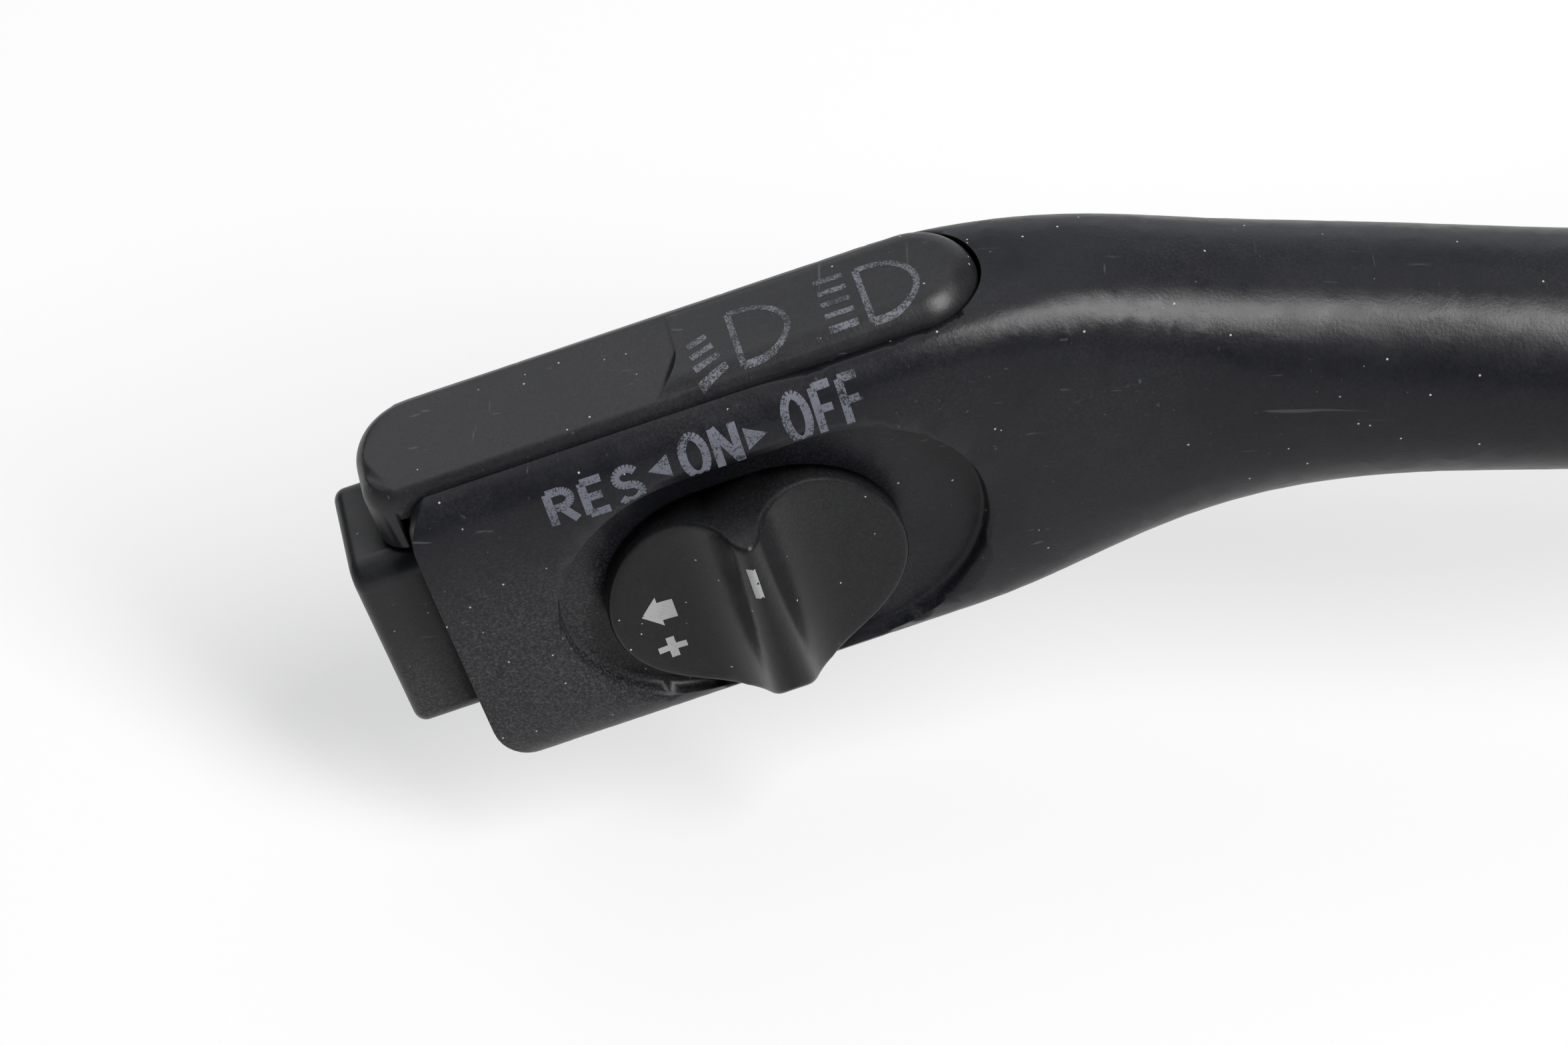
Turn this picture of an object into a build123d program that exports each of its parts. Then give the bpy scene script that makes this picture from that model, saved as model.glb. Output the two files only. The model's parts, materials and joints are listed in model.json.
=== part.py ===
from build123d import *
import os
from math import cos, radians, sin, tan

os.makedirs("parts", exist_ok=True)

# Fits and clearances, all in millimetres
RUNNING_GAP = 0.25
SWEEP_GAP = 1.0
PIN_FIT = 0.04
SEAT_FIT = 0.1
SLIP_GAP = 0.4
OVERRUN = 6.0

# Joint travels: degrees for the swings, millimetres for the slides
TURN_SWING = 8.0
BEAM_SWING = 4.5
PAWL_SWING = 10.0
RESUME_TRAVEL = 1.8
OFF_TRAVEL = 3.8
SET_TRAVEL = 1.5

# Module housing, with its rear mounting face in the plane Y = 0
HOUSING_LENGTH = 56.0
HOUSING_DEPTH = 34.0
HOUSING_HEIGHT = 40.0
HOUSING_WALL = 2.0
HOUSING_CORNER = 3.0
POST_DIAMETER = 6.0
POST_LENGTH = 12.0
POST_SINK = 0.5

# Mounting ears and their steel bushes
EAR_WIDTH = 15.0
EAR_REACH = 10.0
EAR_THICKNESS = 4.0
GUSSET_WIDTH = 1.5
GUSSET_REACH = 6.0
GUSSET_DEPTH = 9.0
MOUNT_SPACING = 50.0
BOLT_HOLE = 4.5
BUSH_WALL = 1.0

# Pivot of the lever, seen from the centre of the mounting face
PIVOT_SIDE = 12.0
PIVOT_DEPTH = 17.0

# Turn signal yoke that swings about the Y axis
YOKE_FRONT = 8.0
YOKE_BACK = 13.5
YOKE_WIDTH = 16.0
YOKE_HEIGHT = 20.0
YOKE_CHEEK = 2.0
YOKE_ARM = 3.0
TRUNNION_DIAMETER = 8.0
TRUNNION_LENGTH = 5.5
BOSS_WALL = 2.5
TAIL_LENGTH = 12.0
TAIL_WIDTH = 8.0
PEG_DIAMETER = 3.0
PEG_LENGTH = 3.6
PEG_REACH = 23.5

# Beam pivot pin and the metal arm that carries the lever
PIN_DIAMETER = 4.0
BARREL_DIAMETER = 9.0
ARM_SIDE = 6.0
ARM_INSERT = 20.0
ARM_NOSE = 8.5

# Detent plungers, their springs and the track they ride
TURN_PLUNGER_DIAMETER = 4.0
TURN_PLUNGER_LENGTH = 12.5
TURN_SPRING_LENGTH = 5.0
TURN_BORE_START = 1.0
BEAM_PLUNGER_DIAMETER = 3.0
BEAM_PLUNGER_LENGTH = 5.0
BEAM_PLUNGER_REACH = 10.0
BEAM_BORE_WALL = 0.5
DETENT_GROOVE = 1.4
DETENT_DEPTH = 0.6
TRACK_HEIGHT = 24.0
TRACK_WIDTH = 8.5
SPRING_WIRE = 0.45
SPRING_TURNS = 5
SET_TURNS = 3
BEAM_TURNS = 3

# Contact plate, terminals and the connector shroud
PLATE_THICKNESS = 2.0
PLATE_INSET = 6.0
SHROUD_LENGTH = 29.0
SHROUD_HEIGHT = 15.0
SHROUD_DEPTH = 12.0
SHROUD_WALL = 1.5
LATCH_WIDTH = 6.0
LATCH_LENGTH = 2.0
LATCH_RISE = 0.9
LATCH_SETBACK = 3.5
TERMINAL_SIDE = 0.64
TERMINAL_MARGIN = 1.57
TERMINAL_COUNT = 10
TERMINAL_REACH = 9.0
TERMINAL_DROP = 3.2
TERMINAL_WINDOW = 4.0

# Turn contact carriage and its rails
CARRIAGE_LENGTH = 10.0
CARRIAGE_HEIGHT = 14.0
CARRIAGE_THICKNESS = 3.6
CONTACT_GAP = 0.3
RAIL_WIDTH = 1.2
CONTACT_WIDTH = 2.0

# Self-cancelling pawl, which stands out of the +X wall
PAWL_PIN_DIAMETER = 3.0
PAWL_PIN_BACK = 8.0
PAWL_THICKNESS = 4.0
PAWL_WIDTH = 5.0
PAWL_TAIL = 5.0
PAWL_NOSE = 13.0
PAWL_LAYER = 1.5
PAWL_LEAF = 0.3
PAWL_NOTCH = 2.0
LEAF_LENGTH = 8.0
LEAF_POST = 2.5

# Cover screws
SCREW_HEAD_DIAMETER = 4.0
SCREW_HEAD_HEIGHT = 1.2
SCREW_SHANK = 2.2
SCREW_LENGTH = 9.0
SCREW_SOCKET = 1.8

# Where the grip head lies from the pivot, and how it is turned
HEAD_AHEAD = 128.0
HEAD_FORWARD = 19.0
HEAD_DROP = 8.0
HEAD_YAW = 13.4
HEAD_PITCH = 13.0

# Grip head section, measured down, up and back from the head centre on its front face
HEAD_DOWN = 10.0
HEAD_UP = 14.0
HEAD_THICKNESS = 12.4
HEAD_TIP = 18.5
HEAD_STRAIGHT = 13.0
HEAD_FULLNESS = 5.5
TIP_CORNER = 5.0
LIP_CORNER = 2.7
NECK_FULLNESS = 2.1
NECK_ROUNDING = 0.25
OUTLINE_STEPS = 24

# Neck of the lever
NECK_DIAMETER = 14.4
ROOT_DIAMETER = 12.5
NECK_GAP = 2.5
WIRE_BORE = 3.6
WIRE_BUNDLE = 3.2
WIRE_BEND = 24.0

# Slider recess in the front face
RECESS_LENGTH = 27.0
RECESS_HEIGHT = 19.0
RECESS_RIGHT = 1.1
RECESS_RISE = 1.0
RECESS_DEPTH = 1.6
RECESS_TAPER = 15.0
RECESS_OVER = 0.8
FRONT_WALL = 1.4

# Hollow inside the head
CAVITY_DOWN = 7.2
CAVITY_END = 20.0
BACK_WALL = 2.9
MOUTH_WALL = 1.75
MOUTH_DEPTH = 3.9
BULKHEAD = 1.2
BULKHEAD_BACK = 1.6

# Slider knob, its stem, carriage and wipers
KNOB_LENGTH = 18.6
KNOB_HEIGHT = 15.4
KNOB_LEFT = 0.15
KNOB_RISE = 0.3
KNOB_SINK = 1.35
RIM_RISE = 0.3
CREST_RISE = 4.45
CREST_FALL = 2.6
KNOB_EDGE = 0.35
STEM_LENGTH = 4.4
STEM_HEIGHT = 3.2
SLIDE_LENGTH = 9.0
SLIDE_HEIGHT = 9.0
SLIDE_THICKNESS = 1.4
WIPER_WIDTH = 1.0
WIPER_PITCH = 2.6
WIPER_COUNT = 3
WIPER_THICKNESS = 0.25

# Upper cover
COVER_RISE = 1.0
COVER_SINK = 1.6
COVER_FRONT = 2.5
COVER_WIDTH = 7.9
COVER_RIGHT = 17.8
COVER_FLAP = 1.9
FLAP_GAP = 0.2
COVER_EDGE = 1.9
COVER_TIP_CORNER = 3.9
COVER_FRONT_CORNER = 2.0
SCOOP_TILT = 4.5
SCOOP_RIGHT = 0.4
SCOOP_FRONT = 2.5
SCOOP_CORNER = 4.0
CLIP_WIDTH = 3.0
CLIP_THICKNESS = 1.0
CLIP_DROP = 3.0
CLIP_SPREAD = 8.0

# SET button in the tip of the head
BUTTON_DOWN = 5.0
BUTTON_UP = 9.6
BUTTON_FRONT = 2.0
BUTTON_BACK = 10.4
BUTTON_PROUD = 4.3
BUTTON_EDGE = 1.5
BUTTON_THICKNESS = 6.6
BUTTON_STEM = 4.0
BUTTON_SPRING = 5.8

# Switch board in the head and the SET contact switch on it
BOARD_THICKNESS = 1.0
BOARD_BACK = 8.0
BOARD_DOWN = 6.2
BOARD_UP = 8.8
BOARD_RIGHT = 17.0
BOARD_RIB = 1.2
TACT_LENGTH = 2.4
TACT_HEIGHT = 4.0
TACT_THICKNESS = 2.4
TACT_NUB = 0.7


def slab(x_span, y_span, z_span, mode=Mode.ADD):
    """A box given by its span on each axis of the work plane."""
    centre = [(span[0] + span[1]) / 2 for span in (x_span, y_span, z_span)]
    with Locations(tuple(centre)):
        Box(x_span[1] - x_span[0], y_span[1] - y_span[0], z_span[1] - z_span[0], mode=mode)


def rod(plane, diameter, length, mode=Mode.ADD):
    """A round bar that starts on a plane and runs along its normal."""
    with BuildSketch(plane) as disc:
        Circle(diameter / 2)
    extrude(disc.sketch, amount=length, mode=mode)


def coil(start, direction, mean_radius, wire, height, turns):
    """A coil spring along a direction, inside the caller's part."""
    with BuildLine() as turn_line:
        Helix(
            pitch=(height - wire) / turns,
            height=height - wire,
            radius=mean_radius,
            center=start + direction * (wire / 2),
            direction=direction,
        )
    with BuildSketch(Plane(origin=turn_line.line @ 0, z_dir=turn_line.line % 0)) as section:
        Circle(wire / 2)
    sweep(section.sketch, path=turn_line.line, is_frenet=True)


def save(builder, label):
    builder.part.label = label
    export_step(builder.part, f"parts/{label}.step")


# Places that the housing pieces share
wall_left = -HOUSING_LENGTH / 2
wall_right = HOUSING_LENGTH / 2
wall_front = -HOUSING_DEPTH
half_height = HOUSING_HEIGHT / 2
inner_front = wall_front + HOUSING_WALL
inner_x = (wall_left + HOUSING_WALL, wall_right - HOUSING_WALL)
inner_half = half_height - HOUSING_WALL
pivot = Vector(-PIVOT_SIDE, -PIVOT_DEPTH, 0)
plate_back = -PLATE_INSET
plate_front = plate_back - PLATE_THICKNESS
post_x = inner_x[1] - POST_DIAMETER / 2 + POST_SINK
post_z = inner_half - POST_DIAMETER / 2 + POST_SINK
mount_points = [(0, MOUNT_SPACING / 2), (0, -MOUNT_SPACING / 2)]
rear = Plane(origin=(0, 0, 0), x_dir=(-1, 0, 0), z_dir=(0, 1, 0))
terminal_row = SHROUD_LENGTH - 2 * SHROUD_WALL - 2 * TERMINAL_MARGIN
terminal_pitch = terminal_row / (TERMINAL_COUNT - 1)
terminal_slots = [
    (terminal - (TERMINAL_COUNT - 1) / 2) * terminal_pitch for terminal in range(TERMINAL_COUNT)
]
terminal_span = terminal_pitch * TERMINAL_COUNT
yoke_front_y = pivot.Y - YOKE_WIDTH / 2
yoke_back_y = pivot.Y + YOKE_WIDTH / 2
boss_end = yoke_front_y - RUNNING_GAP
web_outer = pivot.X + YOKE_BACK
web_inner = web_outer - YOKE_ARM
tail_end = web_outer + TAIL_LENGTH
pawl_layer = (inner_front + PAWL_LAYER, inner_front + PAWL_LAYER + PAWL_THICKNESS)
pawl_x = inner_x[1] - PAWL_PIN_BACK
turn_tip = web_outer + TURN_BORE_START + TURN_SPRING_LENGTH + TURN_PLUNGER_LENGTH
turn_radius = turn_tip - pivot.X
neck_root = wall_left - NECK_GAP
carriage_x = pivot.X + PEG_REACH

# Frame of the grip head: x runs right towards the base, y up, z out of the front face
right = Vector(
    cos(radians(HEAD_PITCH)) * cos(radians(HEAD_YAW)),
    cos(radians(HEAD_PITCH)) * sin(radians(HEAD_YAW)),
    sin(radians(HEAD_PITCH)),
)
out = Vector(sin(radians(HEAD_YAW)), -cos(radians(HEAD_YAW)), 0)
up = out.cross(right)
head_centre = pivot + Vector(-HEAD_AHEAD, -HEAD_FORWARD, -HEAD_DROP)
head = Plane(origin=head_centre, x_dir=right, z_dir=out)


def in_head(x, y, z):
    return head_centre + right * x + up * y + out * z


def lever_section(centre, along):
    """Plane across the lever, with its x pointing away from the driver."""
    return Plane(origin=centre, x_dir=Vector(0, 0, 1).cross(along), z_dir=along)


head_mid_y = (HEAD_UP - HEAD_DOWN) / 2
head_height = HEAD_UP + HEAD_DOWN
neck_start = in_head(HEAD_STRAIGHT, head_mid_y, -HEAD_THICKNESS / 2)
neck_end = Vector(neck_root, pivot.Y, pivot.Z)
neck_run = neck_end - neck_start

# Shares of the way from the head to the root: along, towards the column, and up
NECK_ROUTE_SHARES = (
    (0.19, 0.30, 0.86),
    (0.31, 0.32, 1.06),
    (0.42, 0.30, 1.10),
    (0.78, 0.84, 1.02),
)
# Share of the route, then how far the section is from head to neck and from neck to root
NECK_SECTION_SHARES = (
    (0.09, 0.16, 0.0),
    (0.18, 0.62, 0.0),
    (0.28, 0.90, 0.0),
    (0.39, 1.0, 0.0),
    (0.55, 1.0, 0.3),
    (0.72, 1.0, 0.6),
    (0.87, 1.0, 0.9),
    (1.0, 1.0, 1.0),
)
HEAD_STATION_SHARES = (-1.0, -0.8, -0.6, -0.4, -0.2, 0.0, 0.2, 0.4, 0.5, 0.6, 0.66)
WIRE_ROUTE_SHARES = (
    (0.22, 0.31, 0.98),
    (0.48, 0.36, 1.06),
    (0.765, 1.0, 1.0),
)


def along_neck(along_share, side_share, rise_share):
    return neck_start + Vector(
        neck_run.X * along_share, neck_run.Y * side_share, neck_run.Z * rise_share
    )


neck_line = Spline(
    neck_start,
    *[along_neck(*shares) for shares in NECK_ROUTE_SHARES],
    neck_end,
    tangents=[right, Vector(1, 0, 0)],
)
wire_points = [in_head(CAVITY_END - SWEEP_GAP, head_mid_y, -HEAD_THICKNESS / 2)]
wire_points += [along_neck(*shares) for shares in WIRE_ROUTE_SHARES]
arm_tip = neck_end - Vector(ARM_INSERT, 0, 0)
wire_end = Vector(pivot.X - BARREL_DIAMETER / 2 - WIRE_BORE / 2, pivot.Y, pivot.Z)
wire_points += [wire_end]

# Lever moulding: neck and front shell of the grip in one piece
mouth_inner = -HEAD_TIP + MOUTH_DEPTH
cavity_back = HEAD_THICKNESS - BACK_WALL
cavity_front = RECESS_DEPTH + FRONT_WALL
cover_seat = HEAD_UP - COVER_SINK
cover_back = COVER_FRONT + COVER_WIDTH
knob_x = -KNOB_LEFT
knob_slot = (
    knob_x - STEM_LENGTH / 2 - RESUME_TRAVEL - RUNNING_GAP,
    knob_x + STEM_LENGTH / 2 + OFF_TRAVEL + RUNNING_GAP,
)
board_front = BOARD_BACK - BOARD_THICKNESS
bulkhead_x = (mouth_inner + BULKHEAD_BACK, mouth_inner + BULKHEAD_BACK + BULKHEAD)
board_left = bulkhead_x[1] + BULKHEAD / 2
cover_plane = Plane(origin=in_head(0, cover_seat, 0), x_dir=right, z_dir=up)


def lever_outline(width, height, fullness):
    """Section of the lever: an ellipse when fullness is 2, a rounded box when it is more."""
    rim_points = []
    for step in range(OUTLINE_STEPS):
        turn = radians(360 * step / OUTLINE_STEPS)
        reach_x = abs(cos(turn)) ** (2 / fullness) * width / 2
        reach_y = abs(sin(turn)) ** (2 / fullness) * height / 2
        rim_points.append(
            (reach_x if cos(turn) > 0 else -reach_x, reach_y if sin(turn) > 0 else -reach_y)
        )
    return rim_points


def cover_outline(gap):
    """Outline of the upper cover, seen from above, grown by a gap."""
    end_radius = COVER_WIDTH / 2
    middle = COVER_FRONT + end_radius
    tongue = COVER_RIGHT - end_radius
    left_end = HEAD_TIP + COVER_FLAP
    with Locations(((tongue - left_end) / 2, middle)):
        Rectangle(tongue + left_end, COVER_WIDTH + 2 * gap)
    with Locations((tongue, middle)):
        Circle(end_radius + gap)

recess_flare = RECESS_OVER * tan(radians(RECESS_TAPER))
stem_y = (BUTTON_UP - BUTTON_DOWN) / 2
stem_depth = (BUTTON_FRONT + BUTTON_BACK) / 2
slide_front = cavity_front + RUNNING_GAP
slide_back = slide_front + SLIDE_THICKNESS
rear_trunnion = plate_back - yoke_back_y - SEAT_FIT
track_left = inner_x[1] - TRACK_WIDTH
leaf_root = pawl_x - PAWL_TAIL - LEAF_LENGTH


def stem_plane(x):
    """Plane across the SET button's stem, facing the base."""
    return Plane(origin=in_head(x, stem_y, -stem_depth), x_dir=-out, z_dir=right)


def facing_right(x):
    """Plane across the pivot line, facing +X."""
    return Plane(origin=(x, pivot.Y, pivot.Z), x_dir=(0, 1, 0), z_dir=(1, 0, 0))


def facing_rear(x, z, y):
    """Plane across the column direction, facing +Y."""
    return Plane(origin=(x, y, z), x_dir=(1, 0, 0), z_dir=(0, 1, 0))


with BuildPart(head) as lever_body:
    for share in HEAD_STATION_SHARES:
        station = in_head(share * HEAD_TIP, head_mid_y, -HEAD_THICKNESS / 2)
        with BuildSketch(lever_section(station, right)):
            with BuildLine():
                Spline(*lever_outline(HEAD_THICKNESS, head_height, HEAD_FULLNESS), periodic=True)
            make_face()
    for share, to_neck, to_root in NECK_SECTION_SHARES:
        neck_size = NECK_DIAMETER + (ROOT_DIAMETER - NECK_DIAMETER) * to_root
        width = HEAD_THICKNESS + (neck_size - HEAD_THICKNESS) * to_neck
        height = head_height + (neck_size - head_height) * to_neck
        fullness = HEAD_FULLNESS + (NECK_FULLNESS - HEAD_FULLNESS) * to_neck ** NECK_ROUNDING
        with BuildSketch(lever_section(neck_line @ share, neck_line % share)):
            with BuildLine():
                Spline(*lever_outline(width, height, fullness), periodic=True)
            make_face()
    loft()
    # Rounded corners of the shell at the tip, the upper one only on the front lip
    for corner_y, radius, depth in (
        (-HEAD_DOWN, TIP_CORNER, HEAD_THICKNESS + OVERRUN),
        (HEAD_UP, LIP_CORNER, COVER_FRONT),
    ):
        inward = 1 if corner_y < 0 else -1
        with BuildSketch(head.offset(OVERRUN)):
            corner_centre = (
                -HEAD_TIP + (radius - OVERRUN) / 2,
                corner_y + inward * (radius - OVERRUN) / 2,
            )
            with Locations(corner_centre):
                Rectangle(radius + OVERRUN, radius + OVERRUN)
            with Locations((-HEAD_TIP + radius, corner_y + inward * radius)):
                Circle(radius, mode=Mode.SUBTRACT)
        extrude(amount=-OVERRUN - depth, mode=Mode.SUBTRACT)
    # Hollow of the head, open under the cover and at the tip
    with BuildSketch(cover_plane):
        cover_outline(RUNNING_GAP)
    extrude(amount=OVERRUN, mode=Mode.SUBTRACT)
    slab(
        (mouth_inner - OVERRUN, mouth_inner),
        (-BUTTON_DOWN - RUNNING_GAP, cover_seat + RUNNING_GAP),
        (-BUTTON_BACK - RUNNING_GAP, -MOUTH_WALL),
        Mode.SUBTRACT,
    )
    slab(
        (mouth_inner - RUNNING_GAP, CAVITY_END),
        (-CAVITY_DOWN, cover_seat + RUNNING_GAP),
        (-cavity_back, -cavity_front),
        Mode.SUBTRACT,
    )
    # Bulkhead that the SET button's spring pushes against
    slab(bulkhead_x, (-CAVITY_DOWN, BUTTON_UP), (-cavity_back, -cavity_front))
    rod(stem_plane(bulkhead_x[0]), BUTTON_STEM + 2 * RUNNING_GAP, BULKHEAD, Mode.SUBTRACT)
    for rib_foot in (BOARD_RIB - BOARD_DOWN, BOARD_UP - 2 * BOARD_RIB):
        slab(
            (board_left, BOARD_RIGHT),
            (rib_foot, rib_foot + BOARD_RIB),
            (-cavity_back, -BOARD_BACK),
        )
    # Oval recess and the slot that the knob's stem runs in
    with BuildSketch(head.offset(RECESS_OVER)) as recess:
        with Locations((RECESS_RIGHT, RECESS_RISE)):
            SlotOverall(RECESS_LENGTH + 2 * recess_flare, RECESS_HEIGHT + 2 * recess_flare)
    extrude(
        recess.sketch,
        amount=-RECESS_DEPTH - RECESS_OVER,
        taper=RECESS_TAPER,
        mode=Mode.SUBTRACT,
    )
    slab(
        knob_slot,
        (KNOB_RISE - STEM_HEIGHT / 2 - RUNNING_GAP, KNOB_RISE + STEM_HEIGHT / 2 + RUNNING_GAP),
        (-cavity_front - RUNNING_GAP, 0),
        Mode.SUBTRACT,
    )
    # Wire channel through the neck and the socket for the metal arm
    for start, end in zip(wire_points, wire_points[1:]):
        rod(Plane(origin=start, z_dir=end - start), WIRE_BORE, (end - start).length, Mode.SUBTRACT)
    with Locations(*[head.to_local_coords(corner) for corner in wire_points[1:-1]]):
        Sphere(WIRE_BORE / 2, mode=Mode.SUBTRACT)
    with BuildSketch(Plane(origin=arm_tip, x_dir=(0, 1, 0), z_dir=(1, 0, 0))):
        Rectangle(ARM_SIDE + 2 * SEAT_FIT, ARM_SIDE + 2 * SEAT_FIT)
    extrude(amount=ARM_INSERT + OVERRUN, mode=Mode.SUBTRACT)
save(lever_body, "lever_body")

scoop_reach = COVER_WIDTH - SCOOP_FRONT + COVER_FRONT
scoop_plane = Plane(
    origin=in_head(0, cover_seat + COVER_SINK + COVER_RISE, -cover_back),
    x_dir=right,
    z_dir=up * cos(radians(SCOOP_TILT)) + out * sin(radians(SCOOP_TILT)),
)
# Upper cover with its thumb scoop, the flap over the tip and two clips
with BuildPart(head) as upper_cover:
    with BuildSketch(cover_plane):
        cover_outline(0)
    extrude(amount=COVER_SINK + COVER_RISE)
    slab(
        (-HEAD_TIP - COVER_FLAP, -HEAD_TIP - FLAP_GAP),
        (BUTTON_UP + SLIP_GAP, cover_seat),
        (-cover_back, -COVER_FRONT),
    )
    end_edges = upper_cover.edges().filter_by(Axis(head_centre, up)).group_by(Axis(head_centre, right))[0]
    end_edges = end_edges.sort_by(Axis(head_centre, out))
    fillet(end_edges[0], radius=COVER_TIP_CORNER)
    end_edges = upper_cover.edges().filter_by(Axis(head_centre, up)).group_by(Axis(head_centre, right))[0]
    fillet(end_edges.sort_by(Axis(head_centre, out))[-1], radius=COVER_FRONT_CORNER)
    crown = upper_cover.faces().sort_by(Axis(head_centre, up))[-1]
    fillet(crown.edges(), radius=COVER_EDGE)
    with BuildSketch(scoop_plane):
        with BuildLine():
            Polyline((-SCOOP_RIGHT, 0), (-SCOOP_RIGHT, SCOOP_CORNER - scoop_reach))
            RadiusArc(
                (-SCOOP_RIGHT, SCOOP_CORNER - scoop_reach),
                (-SCOOP_RIGHT - SCOOP_CORNER, -scoop_reach),
                SCOOP_CORNER,
            )
            Polyline(
                (-SCOOP_RIGHT - SCOOP_CORNER, -scoop_reach),
                (-HEAD_TIP - COVER_FLAP - OVERRUN, -scoop_reach),
                (-HEAD_TIP - COVER_FLAP - OVERRUN, 0),
                (-SCOOP_RIGHT, 0),
            )
        make_face()
    extrude(amount=COVER_SINK, mode=Mode.SUBTRACT)
    for clip_x in (-CLIP_SPREAD, CLIP_SPREAD):
        slab(
            (clip_x - CLIP_WIDTH / 2, clip_x + CLIP_WIDTH / 2),
            (cover_seat - CLIP_DROP, cover_seat),
            (-cavity_front - SEAT_FIT - CLIP_THICKNESS, -cavity_front - SEAT_FIT),
        )
save(upper_cover, "upper_cover")

# SET button that slides in the mouth of the head
button_outer = -HEAD_TIP - BUTTON_PROUD
button_inner = button_outer + BUTTON_THICKNESS
nub_tip = board_left - TACT_NUB
stem_end = nub_tip - SET_TRAVEL - SEAT_FIT
with BuildPart(head) as set_button:
    slab(
        (button_outer, button_inner), (-BUTTON_DOWN, BUTTON_UP), (-BUTTON_BACK, -BUTTON_FRONT)
    )
    fillet(set_button.edges().filter_by(Axis(head_centre, right)), radius=BUTTON_EDGE)
    press_face = set_button.faces().sort_by(Axis(head_centre, right))[0]
    fillet(press_face.edges(), radius=BUTTON_EDGE / 2)
    rod(stem_plane(button_inner), BUTTON_STEM, stem_end - button_inner)
save(set_button, "set_button")

with BuildPart() as set_return_spring:
    coil(
        in_head(bulkhead_x[0], stem_y, -stem_depth),
        -right,
        (BUTTON_SPRING - SPRING_WIRE) / 2,
        SPRING_WIRE,
        bulkhead_x[0] - button_inner,
        SET_TURNS,
    )
save(set_return_spring, "set_return_spring")

# Switch board in the head with the contact switch that the button presses
with BuildPart(head) as head_circuit_board:
    slab((board_left, BOARD_RIGHT), (-BOARD_DOWN, BOARD_UP), (-BOARD_BACK, -board_front))
save(head_circuit_board, "head_circuit_board")

with BuildPart(head) as set_contact_switch:
    slab(
        (board_left, board_left + TACT_LENGTH),
        (stem_y - TACT_HEIGHT / 2, stem_y + TACT_HEIGHT / 2),
        (-board_front, TACT_THICKNESS - board_front),
    )
    rod(stem_plane(nub_tip), TACT_NUB * 2, TACT_NUB)
save(set_contact_switch, "set_contact_switch")

# Slider knob: an oval disc with a tall ridge across it
crest = KNOB_SINK + CREST_RISE
knob_plane = Plane(origin=in_head(knob_x, KNOB_RISE, -KNOB_SINK), x_dir=right, z_dir=out)
fall_plane = Plane(
    origin=in_head(knob_x - KNOB_LENGTH, KNOB_RISE, -KNOB_SINK), x_dir=up, z_dir=right
)
rim = KNOB_SINK + RIM_RISE
ridge_rise = crest - rim
half_knob = KNOB_LENGTH / 2
# Profile across the ridge at its upper and lower end: share of the half length from the
# crest, then share of the ridge's rise over the rim
UPPER_BELL_SHARES = ((1.0, 0.0), (0.68, -0.11), (0.38, 0.05), (0.15, 0.52), (0.05, 0.94), (0.0, 1.0))
LOWER_BELL_SHARES = ((1.0, 0.0), (0.68, -0.08), (0.36, 0.06), (0.19, 0.48), (0.11, 0.88), (0.0, 1.0))
with BuildPart(head) as slider_knob:
    for shares, side_y in ((UPPER_BELL_SHARES, 1), (LOWER_BELL_SHARES, -1)):
        bell = Plane(
            origin=in_head(knob_x, KNOB_RISE + side_y * (KNOB_HEIGHT / 2 + RUNNING_GAP), -KNOB_SINK),
            x_dir=right,
            z_dir=-up,
        )
        left_half = [(-half_knob * along, rim + ridge_rise * rise) for along, rise in shares]
        right_half = [(half_knob * along, rim + ridge_rise * rise) for along, rise in shares[-2::-1]]
        with BuildSketch(bell):
            with BuildLine():
                Polyline((-half_knob, rim), (-half_knob, 0), (half_knob, 0), (half_knob, rim))
                Spline(*left_half, *right_half)
            make_face()
    loft(ruled=True)
    with BuildSketch(knob_plane):
        SlotOverall(KNOB_LENGTH, KNOB_HEIGHT)
    extrude(amount=crest + OVERRUN, mode=Mode.INTERSECT)
    with BuildSketch(fall_plane):
        with BuildLine():
            lower = -KNOB_HEIGHT / 2
            Polyline(
                (lower, rim),
                (lower, 0),
                (-lower, 0),
                (-lower, crest),
                (lower + CREST_FALL, crest),
            )
            RadiusArc((lower + CREST_FALL, crest), (lower, rim), -crest)
        make_face()
    extrude(amount=2 * KNOB_LENGTH, mode=Mode.INTERSECT)
    rims = [
        edge
        for edge in slider_knob.edges()
        if head.to_local_coords(edge.center()).Z > KNOB_EDGE - KNOB_SINK
    ]
    fillet(rims, radius=KNOB_EDGE)
    slab(
        (knob_x - STEM_LENGTH / 2, knob_x + STEM_LENGTH / 2),
        (KNOB_RISE - STEM_HEIGHT / 2, KNOB_RISE + STEM_HEIGHT / 2),
        (-slide_front, -KNOB_SINK),
    )
save(slider_knob, "slider_knob")

with BuildPart(head) as slider_carriage:
    slab(
        (knob_x - SLIDE_LENGTH / 2, knob_x + SLIDE_LENGTH / 2),
        (KNOB_RISE - SLIDE_HEIGHT / 2, KNOB_RISE + SLIDE_HEIGHT / 2),
        (-slide_back, -slide_front),
    )
save(slider_carriage, "slider_carriage")

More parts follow.
